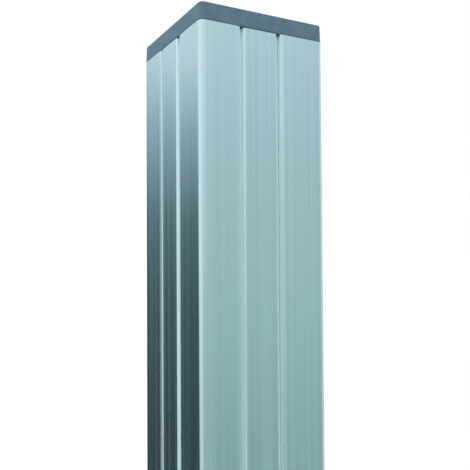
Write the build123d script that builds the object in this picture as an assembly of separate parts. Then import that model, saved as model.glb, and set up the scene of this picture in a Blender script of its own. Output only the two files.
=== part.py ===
from build123d import *
import os

os.makedirs("parts", exist_ok=True)

# A square aluminium gate post. The origin is the centre of its foot, +Z is up,
# and -Y is the face that the photo shows on the right.

# Overall sizes, in millimetres.
side = 90.0
overall_height = 1050.0
cap_height = 11.1

# The extruded post.
corner_radius = 3.5
wall = 2.2
channel_width = 29.2
front_channel_shift = -3.0
channel_depth = 16.0
lip_depth = 2.7
lip_bevel_width = 2.7
lip_bevel_drop = 0.4
lip_radius = 0.5
pocket_height = 2.8
inner_radius = 0.8

# The cover strips that slide into the channels.
strip_gap = 2.3
front_strip_shift = -0.1
left_strip_shift = -0.9
flange_hold = 1.1
strip_wall = 1.8
strip_edge_radius = 1.5
strip_face_clearance = 0.3
strip_side_clearance = 0.1
strip_top_gap = 0.3

# The moulded end cap.
cap_wall = 3.0
cap_top = 3.0
cap_edge_radius = 0.9
cap_draft_angle = 2.0
cap_seat_gap = 0.1
plug_clearance = 0.25
plug_length = 18.0
plug_wall = 2.0
plug_lead = 1.2
plug_corner_ease = 0.2
rib_thickness = 1.8
rib_lift = 1.0

# How far each face's channel lies from the middle: front, right, back, left.
channel_shifts = [front_channel_shift, 0.0, 0.0, 0.0]

# Sizes that follow from the ones above.
half_side = side / 2
post_length = overall_height - cap_height - cap_seat_gap
inner_corner_radius = max(corner_radius - wall, 0.5)
pocket_back = lip_depth + pocket_height
strip_width = channel_width - 2 * strip_gap
flange_width = channel_width + 2 * (strip_gap + flange_hold)
pocket_width = flange_width + 2 * (strip_gap + strip_side_clearance)
pocket_body_half = pocket_width / 2 + wall
channel_body_half = channel_width / 2 + wall
flange_front = lip_depth + strip_face_clearance
flange_back = flange_front + strip_wall
plug_near = pocket_body_half + abs(front_channel_shift) + plug_clearance
plug_far = half_side - wall - plug_clearance
plug_side = plug_far - plug_near
plug_corner_radius = max(inner_corner_radius, plug_lead) + plug_corner_ease
plug_centre = (plug_near + plug_far) / 2


def box_2d(x_half, depth_from, depth_to):
    # A rectangle centred on a face, between two depths measured in from that face.
    middle = -half_side + (depth_from + depth_to) / 2
    return Pos(0, middle) * Rectangle(2 * x_half, depth_to - depth_from)


def near_points(sketch, points, reach):
    # The corners of a sketch that lie at the given places.
    found = []
    for vertex in sketch.vertices():
        for x, y in points:
            if abs(vertex.X - x) < reach and abs(vertex.Y - y) < reach:
                found.append(vertex)
    return found


def mirrored(x, depth):
    # The two places at plus and minus x, at a depth in from the front face.
    return [(x, -half_side + depth), (-x, -half_side + depth)]


def channel_body():
    # The metal that carries one channel: lips, pocket walls, side walls and back.
    body = box_2d(pocket_body_half, 0, pocket_back + wall)
    body = body + box_2d(channel_body_half, 0, channel_depth + wall)
    return body


def channel_hollow():
    # The open space of one channel, with the two pockets for the strip's flanges.
    hollow = box_2d(channel_width / 2, 0, channel_depth)
    hollow = hollow + box_2d(pocket_width / 2, lip_depth, pocket_back)
    back = near_points(hollow, mirrored(channel_width / 2, channel_depth), 0.01)
    hollow = fillet(back, inner_radius)
    return hollow + lip_bevels()


def lip_bevels():
    # The shallow lead-in along both lips: the faces dip a little towards the channel.
    beyond = 0.2
    spread = lip_bevel_width * (1 + beyond / lip_bevel_drop)
    outer = mirrored(channel_width / 2 + spread, -beyond)
    inner = mirrored(channel_width / 2, lip_bevel_drop)
    return make_face(Polyline(outer[0], inner[0], inner[1], outer[1], close=True))


def placed(sketch, count):
    # The sketch of a front channel, moved and turned to one of the four faces.
    return Rot(0, 0, 90 * count) * (Pos(channel_shifts[count], 0) * sketch)


def lip_places(count):
    # Where the two lips of one channel meet its side walls, before they are rounded.
    places = []
    for x, y in mirrored(channel_width / 2, lip_bevel_drop):
        x = x + channel_shifts[count]
        for turn in range(count):
            x, y = -y, x
        places.append((x, y))
    return places


def post_section():
    outer = RectangleRounded(side, side, corner_radius)
    inner_side = side - 2 * wall
    section = outer - RectangleRounded(inner_side, inner_side, inner_corner_radius)
    for count in range(4):
        section = section + placed(channel_body(), count) & outer
    lips = []
    for count in range(4):
        section = section - placed(channel_hollow(), count)
        lips.extend(lip_places(count))
    return fillet(near_points(section, lips, 0.01), lip_radius)


def post_profile():
    return extrude(post_section(), post_length)


def strip_section():
    # A hat section: a flush face, two side walls and two flanges in the pockets.
    hat = box_2d(strip_width / 2, 0, flange_back)
    hat = hat + box_2d(flange_width / 2, flange_front, flange_back)
    edges = near_points(hat, mirrored(strip_width / 2, 0), 0.01)
    hat = fillet(edges, strip_edge_radius)
    return hat - box_2d(strip_width / 2 - strip_wall, strip_wall, flange_back + 1.0)


def strip(count, shift):
    # One strip, moved by the shift across the channel that it lies in.
    section = placed(Pos(shift, 0) * strip_section(), count)
    return extrude(section, post_length - strip_top_gap)


def cap_shell():
    # The visible part: a shallow box with a flat rim that sits on the post's end.
    outline = RectangleRounded(side, side, corner_radius)
    outer = extrude(outline, cap_height, taper=cap_draft_angle)
    top = outer.faces().sort_by(Axis.Z)[-1]
    outer = fillet(top.edges(), cap_edge_radius)
    room_side = side - 2 * cap_wall
    room = RectangleRounded(room_side, room_side, 1.0)
    return outer - extrude(room, cap_height - cap_top)


def cap_plug():
    # One hollow leg that pushes into a corner chamber of the post.
    length = plug_length + cap_height - cap_top / 2
    leg = extrude(RectangleRounded(plug_side, plug_side, plug_corner_radius), length)
    tip = leg.faces().sort_by(Axis.Z)[0]
    leg = chamfer(tip.edges(), plug_lead)
    inside = plug_side - 2 * plug_wall
    bore = Box(inside, inside, length, align=(Align.CENTER, Align.CENTER, Align.MIN))
    return Pos(0, 0, -plug_length) * (leg - Pos(0, 0, -1.0) * bore)


def cap_ribs():
    # Two ribs across the inside stiffen the top between the legs.
    height = cap_height - cap_top / 2 - rib_lift
    low = (Align.CENTER, Align.CENTER, Align.MIN)
    reach = side - cap_wall
    along = Box(reach, rib_thickness, height, align=low)
    across = Box(rib_thickness, reach, height, align=low)
    return Pos(0, 0, rib_lift) * (along + across)


def cap():
    body = cap_shell() + cap_ribs()
    for count in range(4):
        leg = Pos(plug_centre, plug_centre, 0) * cap_plug()
        body = body + Rot(0, 0, 90 * count) * leg
    return Pos(0, 0, post_length + cap_seat_gap) * body


export_step(post_profile(), "parts/post_profile.step")
export_step(strip(0, front_strip_shift), "parts/strip_front.step")
export_step(strip(3, left_strip_shift), "parts/strip_left.step")
export_step(strip(2, 0.0), "parts/strip_back.step")
export_step(strip(1, 0.0), "parts/strip_right.step")
export_step(cap(), "parts/cap.step")
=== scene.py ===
import math

import bpy
from mathutils import Matrix, Vector


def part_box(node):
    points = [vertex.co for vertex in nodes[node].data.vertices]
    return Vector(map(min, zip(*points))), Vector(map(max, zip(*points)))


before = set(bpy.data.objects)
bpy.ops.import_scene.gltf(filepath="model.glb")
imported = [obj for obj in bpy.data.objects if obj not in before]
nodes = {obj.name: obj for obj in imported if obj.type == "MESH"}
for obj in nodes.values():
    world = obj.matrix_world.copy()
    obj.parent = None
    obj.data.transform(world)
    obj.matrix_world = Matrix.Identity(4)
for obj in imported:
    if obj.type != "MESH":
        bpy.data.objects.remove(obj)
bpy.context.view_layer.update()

# Lengths are in metres, angles in degrees and colours linear, unless a name says otherwise.

# The camera, from a fit of the post's straight edges to those in the photograph.
CAMERA_PLACE = (-0.192395, -0.338889, 0.903337)
CAMERA_YAW = 26.480
CAMERA_PITCH = 1.416
CAMERA_ROLL = -0.268
CAMERA_NEAR = 0.01
CAMERA_FAR = 200.0
SENSOR_MM = 36.0
IMAGE_PIXELS = 470
FOCAL_PIXELS = 565.252
CENTRE_X_PIXELS = 199.553

# Where the post's faces, its upper end and the cap's top lie.
HALF_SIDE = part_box("post_profile")[1][0]
POST_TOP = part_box("post_profile")[1][2]
CAP_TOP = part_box("cap")[1][2]

# A noise is given by its scale, detail and roughness, and a bump by its strength and height.

# The satin metal. Its lines are noise that is drawn out along the post.
METAL_COLOUR = (0.578, 0.776, 0.807)
METAL_PALE = (0.604, 0.803, 0.832)
METAL_DEEP = (0.548, 0.744, 0.778)
METAL_STOPS = [(0.35, METAL_DEEP), (0.5, METAL_COLOUR), (0.65, METAL_PALE)]
LINE_STRETCH = (1.0, 1.0, 0.004)
FINE_LINES = (1900.0, 3.0, 0.6)
WIDE_LINES = (240.0, 2.0, 0.5)
FINE_SHARE = 0.45
WIDE_SHARE = 0.55
METAL_ROUGH = (0.14, 0.32)
METAL_BUMP = (0.25, 0.00006)
POST_LINES_OFFSET = 0.0
STRIP_LINES_OFFSET = 3.7

# Down in the grooves the metal is rougher and less metallic, and its colour is painted paler:
# a painted reflection that lightens the grooves. The change comes in between two depths below
# the face, and the shallow bevels on the lips take a share of it, a painted highlight on the
# lips.
# No groove lies further than GROOVE_REACH from the middle of its face.
GROOVE_PAINTED_LIGHT = (0.830, 0.975, 0.990)
GROOVE_ROUGHER = 0.25
GROOVE_LESS_METALLIC = 0.35
GROOVE_REACH = 0.030
GROOVE_START = 0.0004
GROOVE_FULL = 0.0010
BEVEL_START = 0.00003
BEVEL_FULL = 0.00020
BEVEL_FINISH_AND_PAINTED_LIGHT_SHARE = 0.16

# The cap's plastic. Painted shade makes it a little darker low down, where it meets the post, and
# at the top.
CAP_COLOUR = (0.080, 0.172, 0.234)
CAP_PALE = (0.097, 0.199, 0.265)
CAP_DEEP = (0.066, 0.149, 0.207)
CAP_PAINTED_SHADE = (0.048, 0.113, 0.158)
CAP_STOPS = [(0.3, CAP_DEEP), (0.5, CAP_COLOUR), (0.7, CAP_PALE)]
CAP_PAINTED_SHADE_SHARES = [(0.02, 1.0), (0.10, 0.0), (0.86, 0.0), (0.97, 0.6)]
CAP_GRAIN = (2600.0, 2.0, 0.6)
CAP_PATCHES = (160.0, 3.0, 0.6)
CAP_ROUGH = (0.48, 0.62)
CAP_BUMP = (0.3, 0.00008)

# Most of a noise texture's values lie between these two, and a roughness is spread over them.
NOISE_LOW = 0.3
NOISE_HIGH = 0.7

# The places of a Mix node's colour sockets.
MIX_FIRST = 6
MIX_SECOND = 7
MIX_RESULT = 2

# The white world lights the scene with the first strength, and is seen with the second.
WORLD_LIGHT = 0.5
WORLD_SEEN = 1.0

# Near the post the lamps make much of the floor's white, so that the post's shadow shows.
# Further away it glows more. The glow is given at distances from the post.
FLOOR_REACH = 40.0
FLOOR_TONE = 0.8
FLOOR_FAR = 6.0
FLOOR_GLOW = [(0.4, 0.36), (1.2, 0.47), (2.4, 0.55), (FLOOR_FAR, 0.64)]

# Cards around the post, out of the picture, which only its reflections show. Their tones
# are given by the elevation of the camera's rays that reach them by way of the post.
CARD_DISTANCE = 0.9
CARD_LOW = 0.03
CARD_HIGH = 1.75
EYE_HEIGHT = CAMERA_PLACE[2]
EYE_DISTANCE = math.hypot(CAMERA_PLACE[0], CAMERA_PLACE[1])
FRONT_TONES = [
    (-19.0, (0.365, 0.465, 0.445)),
    (-9.0, (0.465, 0.570, 0.560)),
    (0.0, (0.515, 0.605, 0.620)),
    (8.5, (0.550, 0.630, 0.650)),
    (17.0, (0.630, 0.710, 0.740)),
    (24.0, (0.740, 0.800, 0.820)),
]
CAMERA_TONES = [
    (-19.0, (0.42, 0.49, 0.49)),
    (0.0, (0.63, 0.70, 0.71)),
    (17.0, (0.85, 0.90, 0.92)),
]
LEFT_TONES = [
    (-19.0, (0.74, 0.76, 0.76)),
    (-9.0, (0.88, 0.89, 0.89)),
    (0.0, (0.96, 0.96, 0.96)),
    (17.0, (1.0, 1.0, 1.0)),
]
BACK_TONES = [
    (-19.0, (0.029, 0.053, 0.060)),
    (-5.0, (0.058, 0.095, 0.107)),
    (3.0, (0.098, 0.160, 0.182)),
    (12.0, (0.365, 0.460, 0.515)),
    (19.0, (0.775, 0.825, 0.870)),
]
SIDE_TONES = [
    (-19.0, (0.13, 0.17, 0.19)),
    (0.0, (0.22, 0.28, 0.30)),
    (19.0, (0.46, 0.53, 0.56)),
]


def make_camera():
    data = bpy.data.cameras.new("camera")
    data.sensor_width = SENSOR_MM
    data.lens = FOCAL_PIXELS / IMAGE_PIXELS * SENSOR_MM
    data.shift_x = (IMAGE_PIXELS / 2 - CENTRE_X_PIXELS) / IMAGE_PIXELS
    data.clip_start = CAMERA_NEAR
    data.clip_end = CAMERA_FAR
    camera = bpy.data.objects.new("camera", data)
    turn = Matrix.Rotation(math.radians(-CAMERA_YAW), 4, "Z")
    lift = Matrix.Rotation(math.radians(90 + CAMERA_PITCH), 4, "X")
    roll = Matrix.Rotation(math.radians(CAMERA_ROLL), 4, "Z")
    camera.matrix_world = Matrix.Translation(CAMERA_PLACE) @ turn @ lift @ roll
    bpy.context.scene.collection.objects.link(camera)
    bpy.context.scene.camera = camera


class Graph:
    """A short way to build a node tree: add a node, set its inputs, join it up."""

    def __init__(self, tree):
        self.tree = tree
        tree.nodes.clear()

    def add(self, kind, inputs=None, **settings):
        node = self.tree.nodes.new(kind)
        for name, value in settings.items():
            setattr(node, name, value)
        for name, value in (inputs or {}).items():
            self.put(node, name, value)
        return node

    def put(self, node, name, value):
        if isinstance(value, bpy.types.NodeSocket):
            self.tree.links.new(value, node.inputs[name])
        else:
            node.inputs[name].default_value = value

    def maths(self, operation, first, second, clamp=False):
        node = self.add("ShaderNodeMath", {0: first, 1: second},
                        operation=operation, use_clamp=clamp)
        return node.outputs[0]

    def place(self):
        return self.add("ShaderNodeTexCoord").outputs["Object"]

    def axes(self, place):
        return self.add("ShaderNodeSeparateXYZ", {"Vector": place}).outputs

    def noise(self, vector, scale, detail, roughness):
        node = self.add("ShaderNodeTexNoise", {"Vector": vector, "Scale": scale,
                                               "Detail": detail, "Roughness": roughness})
        return node.outputs["Fac"]

    def between(self, value, start, full, low=0.0, high=1.0):
        node = self.add("ShaderNodeMapRange", {"Value": value, "From Min": start,
                                               "From Max": full, "To Min": low,
                                               "To Max": high})
        return node.outputs["Result"]

    def spread(self, noise, limits):
        return self.between(noise, NOISE_LOW, NOISE_HIGH, *limits)

    def ramp(self, factor, stops):
        node = self.add("ShaderNodeValToRGB", {"Fac": factor})
        elements = node.color_ramp.elements
        while len(elements) < len(stops):
            elements.new(0.5)
        for element, (position, colour) in zip(elements, stops):
            element.position = position
            element.color = (*colour, 1.0)
        return node.outputs["Color"]

    def grey_ramp(self, factor, stops):
        return self.ramp(factor, [(position, (tone, tone, tone)) for position, tone in stops])

    def blend(self, factor, first, second):
        """From one colour's socket to a plain colour."""
        node = self.add("ShaderNodeMix", {0: factor}, data_type="RGBA")
        self.put(node, MIX_FIRST, first)
        self.put(node, MIX_SECOND, (*second, 1.0))
        return node.outputs[MIX_RESULT]

    def bump(self, pattern, strength, height):
        node = self.add("ShaderNodeBump", {"Height": pattern, "Strength": strength,
                                           "Distance": height})
        return node.outputs["Normal"]

    def glow(self, colour):
        return self.add("ShaderNodeEmission", {"Color": colour, "Strength": 1.0})

    def output(self, shader):
        self.add("ShaderNodeOutputMaterial", {"Surface": shader.outputs[0]})


def new_material(name):
    material = bpy.data.materials.new(name)
    material.use_nodes = True
    return material, Graph(material.node_tree)


def groove_finish_and_painted_light(graph):
    """0 on the post's faces and its outer corners, and 1 down in the grooves; it carries their
    rougher, less metallic finish and their painted reflection.
    """
    axes = graph.axes(graph.place())
    across = graph.maths("ABSOLUTE", axes["X"], 0.0)
    along = graph.maths("ABSOLUTE", axes["Y"], 0.0)
    depth = graph.maths("SUBTRACT", HALF_SIDE, graph.maths("MAXIMUM", across, along))
    near_middle = graph.maths("LESS_THAN", graph.maths("MINIMUM", across, along), GROOVE_REACH)
    finish_and_painted_light = graph.between(depth, GROOVE_START, GROOVE_FULL)
    bevel_finish_and_painted_light = graph.between(depth, BEVEL_START, BEVEL_FULL, high=BEVEL_FINISH_AND_PAINTED_LIGHT_SHARE)
    return graph.maths("MULTIPLY", graph.maths("MAXIMUM", finish_and_painted_light, bevel_finish_and_painted_light), near_middle)


def satin_metal(name, offset):
    """Anodised aluminium with fine lines along the extrusion. The offset shifts the lines."""
    material, graph = new_material(name)
    drawn = graph.add("ShaderNodeMapping", {"Vector": graph.place(), "Scale": LINE_STRETCH})
    moved = graph.add("ShaderNodeVectorMath", {0: drawn.outputs["Vector"], 1: (offset, 0.0, 0.0)},
                      operation="ADD").outputs[0]
    fine = graph.noise(moved, *FINE_LINES)
    wide = graph.noise(moved, *WIDE_LINES)
    mixed = graph.maths("ADD", graph.maths("MULTIPLY", fine, FINE_SHARE),
                        graph.maths("MULTIPLY", wide, WIDE_SHARE))
    finish_and_painted_light = groove_finish_and_painted_light(graph)
    # The grooves' paler colour is painted light: a painted reflection in them and a painted
    # highlight on the lip bevels.
    colour = graph.blend(finish_and_painted_light, graph.ramp(mixed, METAL_STOPS), GROOVE_PAINTED_LIGHT)
    rough = graph.maths("ADD", graph.spread(wide, METAL_ROUGH),
                        graph.maths("MULTIPLY", finish_and_painted_light, GROOVE_ROUGHER))
    metallic = graph.maths("SUBTRACT", 1.0,
                           graph.maths("MULTIPLY", finish_and_painted_light, GROOVE_LESS_METALLIC))
    normal = graph.bump(mixed, *METAL_BUMP)
    shader = graph.add("ShaderNodeBsdfPrincipled", {"Base Color": colour, "Metallic": metallic,
                                                    "Roughness": rough, "Normal": normal})
    graph.output(shader)
    return material


def cap_plastic():
    """Moulded matt plastic with a fine grain, slight patches and painted shade at its lower and
    upper edges.
    """
    material, graph = new_material("cap_plastic")
    place = graph.place()
    grain = graph.noise(place, *CAP_GRAIN)
    patches = graph.noise(place, *CAP_PATCHES)
    height = graph.between(graph.axes(place)["Z"], POST_TOP, CAP_TOP)
    # Painted shade: darker where the cap meets the post and along its top.
    painted_shade = graph.grey_ramp(height, CAP_PAINTED_SHADE_SHARES)
    colour = graph.blend(painted_shade, graph.ramp(patches, CAP_STOPS), CAP_PAINTED_SHADE)
    rough = graph.spread(grain, CAP_ROUGH)
    normal = graph.bump(grain, *CAP_BUMP)
    shader = graph.add("ShaderNodeBsdfPrincipled", {"Base Color": colour, "Roughness": rough,
                                                    "Normal": normal})
    graph.output(shader)
    return material


def seen_directly(graph):
    """1 for rays that see the background: from the camera, a reflection or through glass."""
    path = graph.add("ShaderNodeLightPath").outputs
    both = graph.maths("ADD", path["Is Camera Ray"], path["Is Glossy Ray"])
    return graph.maths("ADD", both, path["Is Transmission Ray"], clamp=True)


def mixed_shader(graph, first, second):
    """The first shader lights the scene, and the second is what is seen."""
    return graph.add("ShaderNodeMixShader", {0: seen_directly(graph), 1: first.outputs[0],
                                             2: second.outputs[0]})


def make_world():
    world = bpy.data.worlds.new("world")
    world.use_nodes = True
    bpy.context.scene.world = world
    graph = Graph(world.node_tree)
    white = (1.0, 1.0, 1.0, 1.0)
    ambient = graph.add("ShaderNodeBackground", {"Color": white, "Strength": WORLD_LIGHT})
    seen = graph.add("ShaderNodeBackground", {"Color": white, "Strength": WORLD_SEEN})
    mixed = mixed_shader(graph, ambient, seen)
    graph.add("ShaderNodeOutputWorld", {"Surface": mixed.outputs[0]})


def plane(name, corners):
    mesh = bpy.data.meshes.new(name)
    mesh.from_pydata(corners, [], [tuple(range(len(corners)))])
    piece = bpy.data.objects.new(name, mesh)
    bpy.context.scene.collection.objects.link(piece)
    return piece


def floor_pale():
    """A white floor that the lamps light, with a glow that is seen but lights nothing."""
    material, graph = new_material("floor_pale")
    plain = graph.add("ShaderNodeBsdfDiffuse",
                      {"Color": (FLOOR_TONE, FLOOR_TONE, FLOOR_TONE, 1.0)})
    away = graph.add("ShaderNodeVectorMath", {0: graph.place()}, operation="LENGTH")
    share = graph.maths("DIVIDE", away.outputs["Value"], FLOOR_FAR, clamp=True)
    level = graph.grey_ramp(share, [(radius / FLOOR_FAR, tone) for radius, tone in FLOOR_GLOW])
    glow = graph.glow(level)
    seen = graph.add("ShaderNodeAddShader", {0: plain.outputs[0], 1: glow.outputs[0]})
    graph.output(mixed_shader(graph, plain, seen))
    return material


def make_floor():
    reach = FLOOR_REACH
    floor = plane("floor", [(-reach, -reach, 0.0), (reach, -reach, 0.0),
                            (reach, reach, 0.0), (-reach, reach, 0.0)])
    floor.data.materials.append(floor_pale())


def soft_light(name, place, aim, width, height, watts):
    """A wide lamp that neither the camera nor a reflection shows."""
    data = bpy.data.lights.new(name, "AREA")
    data.shape = "RECTANGLE"
    data.size = width
    data.size_y = height
    data.energy = watts
    light = bpy.data.objects.new(name, data)
    light.location = place
    facing = Vector(aim) - Vector(place)
    light.rotation_euler = facing.to_track_quat("-Z", "Y").to_euler()
    light.visible_camera = False
    light.visible_glossy = False
    bpy.context.scene.collection.objects.link(light)


def make_lights():
    soft_light("left_light", place=(-1.7, -0.1, 1.0), aim=(0.0, 0.0, 0.9),
               width=2.4, height=2.0, watts=15.0)
    soft_light("top_light", place=(0.3, -0.8, 2.6), aim=(0.0, 0.0, 0.8),
               width=1.6, height=1.6, watts=21.0)


def card_glow(name, tones):
    """A card's light, in tones from its lower end to its upper one."""
    material, graph = new_material(name)
    share = graph.between(graph.axes(graph.place())["Z"], CARD_LOW, CARD_HIGH)
    stops = []
    for elevation, tone in tones:
        rise = (CARD_DISTANCE + EYE_DISTANCE) * math.tan(math.radians(elevation))
        stops.append(((EYE_HEIGHT + rise - CARD_LOW) / (CARD_HIGH - CARD_LOW), tone))
    graph.output(graph.glow(graph.ramp(share, stops)))
    return material


def reflected_card(name, bearing, spread, tones):
    """An upright card whose middle lies at a bearing, from -Y towards +X."""
    turn = math.radians(bearing)
    centre = Vector((math.sin(turn), -math.cos(turn), 0.0)) * CARD_DISTANCE
    along = Vector((math.cos(turn), math.sin(turn), 0.0))
    along = along * CARD_DISTANCE * math.tan(math.radians(spread))
    down = Vector((0.0, 0.0, CARD_LOW))
    up = Vector((0.0, 0.0, CARD_HIGH))
    card = plane(name, [centre - along + down, centre + along + down,
                        centre + along + up, centre - along + up])
    card.data.materials.append(card_glow(name, tones))
    card.visible_camera = False
    card.visible_diffuse = False
    card.visible_shadow = False
    card.visible_transmission = False


def make_cards():
    reflected_card("front_card", bearing=41.5, spread=22.5, tones=FRONT_TONES)
    reflected_card("camera_card", bearing=-18.0, spread=36.0, tones=CAMERA_TONES)
    reflected_card("left_card", bearing=-94.5, spread=40.5, tones=LEFT_TONES)
    reflected_card("back_card", bearing=-162.0, spread=27.0, tones=BACK_TONES)
    reflected_card("side_card", bearing=120.0, spread=26.0, tones=SIDE_TONES)


def finish_nodes():
    metal = satin_metal("satin_aluminium", POST_LINES_OFFSET)
    strip_metal = satin_metal("satin_aluminium_strip", STRIP_LINES_OFFSET)
    plastic = cap_plastic()
    for name, node in nodes.items():
        for slot in node.material_slots:
            if name == "cap":
                slot.material = plastic
            elif name.startswith("strip"):
                slot.material = strip_metal
            else:
                slot.material = metal


make_camera()
make_world()
make_floor()
make_lights()
make_cards()
finish_nodes()

bpy.context.scene.view_settings.view_transform = "Standard"
